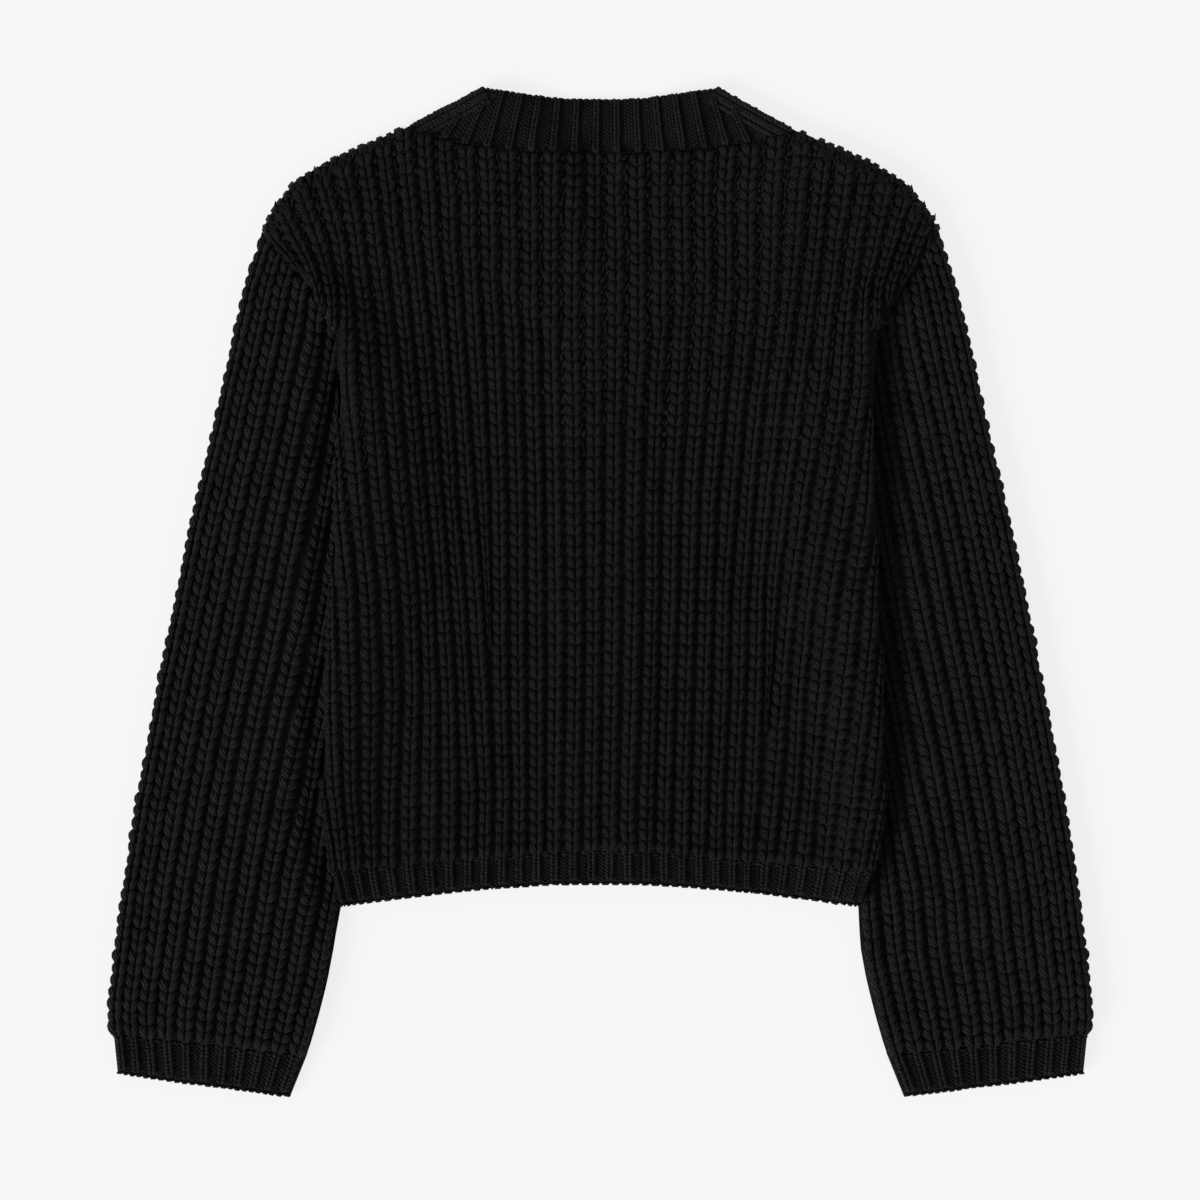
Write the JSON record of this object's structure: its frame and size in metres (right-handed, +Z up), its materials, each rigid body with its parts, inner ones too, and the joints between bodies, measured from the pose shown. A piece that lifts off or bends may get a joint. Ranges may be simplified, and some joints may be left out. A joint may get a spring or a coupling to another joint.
{
  "type": "cardigan",
  "caption": "Cropped rib-knit cardigan laid flat with its back upward, long sleeves partly under the body, ribbed neckband, hem and cuffs, and a buttoned front beneath.",
  "frame": {"origin": "centre of the garment's outline, on the surface it lies on", "axes": "+Z up out of the surface, +Y from the hem towards the neck, +X to the right as seen from above, which is the wearer's right side because the back is uppermost"},
  "size_m": [0.647, 0.6652, 0.0248],
  "materials": {
    "rib_knit": "black chunky rib knit, matt with a soft sheen on the yarn",
    "trim_knit": "black fine rib knit, matt",
    "button": "black, satin"
  },
  "bodies": {
    "root": {"back": "rib_knit", "front_left": "rib_knit", "front_right": "rib_knit", "sleeve_left": "rib_knit", "sleeve_right": "rib_knit", "neckband_back": "trim_knit", "band_left": "trim_knit", "band_right": "trim_knit", "hem_back": "trim_knit", "hem_front_left": "trim_knit", "hem_front_right": "trim_knit", "cuff_left": "trim_knit", "cuff_right": "trim_knit", "button_1": "button", "button_2": "button", "button_3": "button", "button_4": "button", "button_5": "button"}
  },
  "joints": []
}
